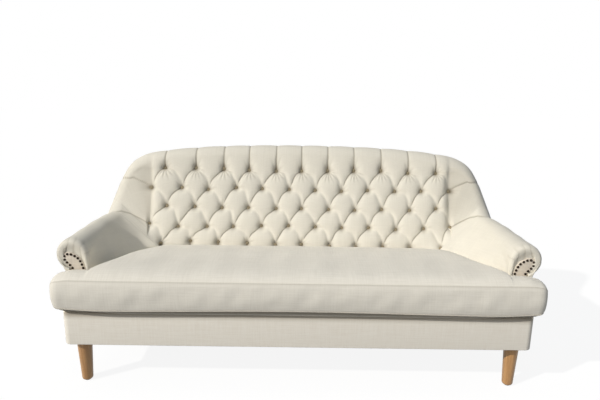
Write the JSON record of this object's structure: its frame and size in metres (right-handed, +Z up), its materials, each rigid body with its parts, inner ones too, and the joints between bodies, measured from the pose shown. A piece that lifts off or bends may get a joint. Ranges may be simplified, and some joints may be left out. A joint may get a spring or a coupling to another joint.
{
  "type": "sofa",
  "caption": "Rolled-arm sofa with a curved diamond-tufted back, one loose full-width seat cushion, an upholstered base and tapered round wooden legs.",
  "frame": {"origin": "on the floor under the middle of the sofa's outline, level with the undersides of the leg glides", "axes": "+X towards the right end as seen from the front, along the seat's width; +Y towards the back, so the seat faces -Y; +Z up"},
  "size_m": [1.979, 0.7896, 0.9058],
  "materials": {
    "cream_linen": "matte woven linen with soft slubs",
    "cushion_linen": "matte slub weave, greige",
    "base_linen": "matte slub weave, warm beige",
    "welt_cloth": "matte cord covered in linen",
    "nail_bronze": "dark bronze, satin",
    "leg_wood": "light oak, clear satin",
    "frame_wood": "planed, unfinished",
    "block_wood": "planed, unfinished",
    "steel": "zinc plated",
    "glide_plastic": "moulded, matte",
    "burlap": "coarse jute weave",
    "padding": "fibre batting",
    "foam": "open-cell foam",
    "dust_cloth": "black non-woven cloth",
    "zip_tape": "woven tape",
    "zip_metal": "satin"
  },
  "bodies": {
    "sofa_frame": {"front_rail": "frame_wood", "rear_rail": "frame_wood", "left_side_rail": "frame_wood", "right_side_rail": "frame_wood", "cross_rails": "frame_wood", "corner_blocks": "block_wood", "leg_front_left": "leg_wood", "leg_front_right": "leg_wood", "leg_rear_left": "leg_wood", "leg_rear_right": "leg_wood", "leg_plates": "steel", "leg_plate_screws": "steel", "leg_bolts": "steel", "leg_glides": "glide_plastic", "seat_springs": "steel", "spring_clips": "steel", "deck_burlap": "burlap", "deck_pad": "padding", "deck_cover": "base_linen", "base_band": "base_linen", "dust_cover": "dust_cloth", "back_ribs": "frame_wood", "back_top_rail": "frame_wood", "back_tack_rail": "frame_wood", "shoulder_rail_left": "steel", "shoulder_rail_right": "steel", "arm_board_left": "frame_wood", "arm_board_right": "frame_wood", "arm_post_left": "frame_wood", "arm_post_right": "frame_wood", "arm_rail_left": "frame_wood", "arm_rail_right": "frame_wood", "tufted_back": "cream_linen", "back_buttons": "cream_linen", "arm_pad_left": "cream_linen", "arm_pad_right": "cream_linen", "arm_front_pad_left": "cream_linen", "arm_front_pad_right": "cream_linen", "arm_facing_left": "cream_linen", "arm_facing_right": "cream_linen", "facing_nails_left": "nail_bronze", "facing_nails_right": "nail_bronze", "outer_arm_left": "cream_linen", "outer_arm_right": "cream_linen", "outer_back": "cream_linen"},
    "seat_cushion": {"cushion_cover": "cushion_linen", "cushion_core": "foam", "cushion_welt": "welt_cloth", "zipper_tape": "zip_tape", "zipper_teeth": "zip_metal"},
    "zipper_slider": {"zipper_slider": "zip_metal", "zipper_pull": "zip_metal"}
  },
  "joints": [
    {"name": "cushion_lift", "type": "slide", "parent": "sofa_frame", "child": "seat_cushion", "axis": [0, 0, 1], "range_m": [0, 0.6]},
    {"name": "zipper_slide", "type": "slide", "parent": "seat_cushion", "child": "zipper_slider", "axis": [-1, 0, 0], "range_m": [0, 1.07]}
  ]
}
